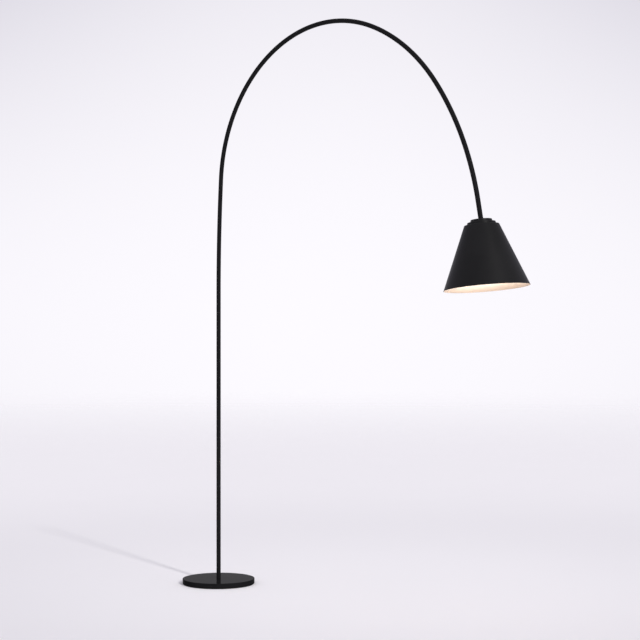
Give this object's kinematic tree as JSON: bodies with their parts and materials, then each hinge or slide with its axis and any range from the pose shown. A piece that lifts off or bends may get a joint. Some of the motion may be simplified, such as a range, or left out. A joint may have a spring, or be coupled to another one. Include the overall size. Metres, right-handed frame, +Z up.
{
  "type": "arc floor lamp",
  "caption": "Slim floor lamp: a round weighted base, a pole, a bent rod that swivels on the pole, and a conical metal shade that swivels and tilts at the rod's end.",
  "frame": {"origin": "centre of the base's underside, on the pole's axis", "axes": "+Z up along the pole, +X from the pole towards the shade, in the plane of the arc"},
  "size_m": [1.5385, 0.278, 2.03],
  "materials": {
    "black_steel": "satin",
    "black_aluminium": "satin",
    "white_aluminium": "satin",
    "black_rubber": "matte",
    "black_nylon": "matte",
    "zinc_steel": "satin",
    "black_screws": "satin",
    "brass": "satin",
    "black_plastic": "satin",
    "white_plastic": "satin",
    "ceramic": "matte",
    "nickel": "satin",
    "opal": "satin",
    "flex_sheath": "matte",
    "core_sheath": "matte"
  },
  "bodies": {
    "base": {"base_plate": "black_steel", "foot_pad": "black_rubber", "recess_cover": "black_steel", "cover_screws": "zinc_steel", "inlet_bush": "black_rubber", "terminal_block": "white_plastic", "terminal_screws": "zinc_steel", "earth_tag": "brass", "earth_screw": "zinc_steel", "flex_cores": "core_sheath", "base_washer": "zinc_steel", "base_nut": "zinc_steel", "base_nipple": "zinc_steel", "pole_insert": "zinc_steel", "lower_pole": "black_steel", "pole_spigot": "zinc_steel", "spigot_screws": "black_screws", "joint_washer": "black_nylon", "flex_pole": "flex_sheath"},
    "arc": {"arc_tube": "black_aluminium", "stop_screw": "black_screws", "rod_end_plug": "black_aluminium", "stop_pin": "zinc_steel", "head_nipple": "zinc_steel", "wave_washer": "zinc_steel", "lock_nut": "brass", "flex_arc": "flex_sheath"},
    "yoke": {"swivel_yoke": "black_steel", "tilt_screws": "black_screws", "tilt_washers": "black_nylon"},
    "shade": {"tilt_bracket": "black_steel", "shade_cap": "black_aluminium", "cap_nuts": "zinc_steel", "cap_screws": "zinc_steel", "shade_shell": "black_aluminium", "inner_dish": "white_aluminium", "holder_nipple": "zinc_steel", "holder_nut": "zinc_steel", "flex_head": "flex_sheath", "holder_cap": "black_plastic", "holder_body": "black_plastic", "holder_insert": "ceramic", "centre_contact": "brass", "screw_shell": "brass", "shade_ring": "black_plastic", "bulb_cap": "nickel", "bulb_insulator": "black_plastic", "bulb_eyelet": "nickel", "bulb_housing": "white_plastic", "led_board": "white_aluminium", "bulb_globe": "opal"}
  },
  "joints": [
    {"name": "arc_swivel", "type": "hinge", "parent": "base", "child": "arc", "pos_m": [0, 0, 1.0104], "axis": [0, 0, 1], "range_deg": [-150, 150]},
    {"name": "shade_swivel", "type": "hinge", "parent": "arc", "child": "yoke", "pos_m": [1.2444, 0, 1.29157], "axis": [-0.1891, 0, 0.982], "range_deg": [-160, 160]},
    {"name": "shade_tilt", "type": "hinge", "parent": "yoke", "child": "shade", "pos_m": [1.2444, 0, 1.29157], "axis": [0, -1, 0], "range_deg": [-13, 22.5]}
  ]
}
